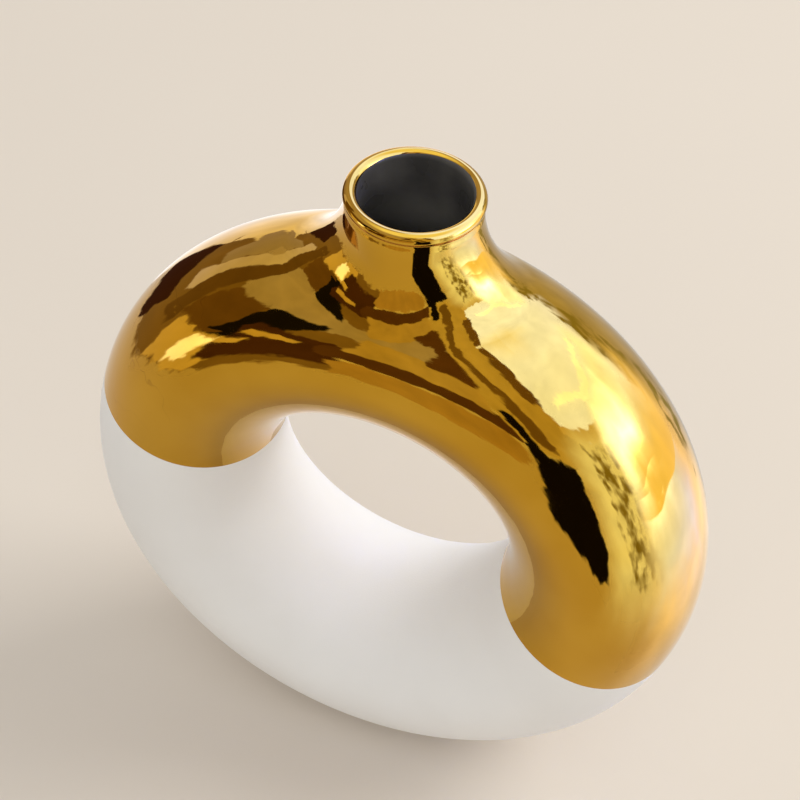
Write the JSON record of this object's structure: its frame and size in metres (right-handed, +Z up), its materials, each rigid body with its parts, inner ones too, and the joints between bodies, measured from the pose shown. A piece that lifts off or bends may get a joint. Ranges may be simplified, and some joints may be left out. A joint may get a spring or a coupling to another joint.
{
  "type": "donut vase",
  "caption": "Hollow oval ring vase standing on its edge, with a short flared neck and rolled lip; mirror gold arch over a matte white lower half.",
  "frame": {"origin": "centre of the flat foot, on the surface that the vase stands on", "axes": "+Z up along the neck, the ring lies in the XZ plane, its axis is Y and the front faces -Y"},
  "size_m": [0.1854, 0.0654, 0.2137],
  "materials": {
    "stoneware": "pale fired stoneware, bare at the ground foot",
    "luting_slip": "fired slip in the joints",
    "white_glaze": "smooth matte white glaze",
    "gold_plating": "mirror-bright gold plating with faint wrinkles",
    "dark_glaze": "glossy charcoal lining glaze"
  },
  "bodies": {
    "root": {"lower_body": "stoneware", "arch_body": "stoneware", "neck": "stoneware", "left_arm_slip": "luting_slip", "right_arm_slip": "luting_slip", "neck_slip": "luting_slip", "white_glaze": "white_glaze", "gold_plating": "gold_plating", "body_liner": "dark_glaze", "arch_liner": "dark_glaze"}
  },
  "joints": []
}
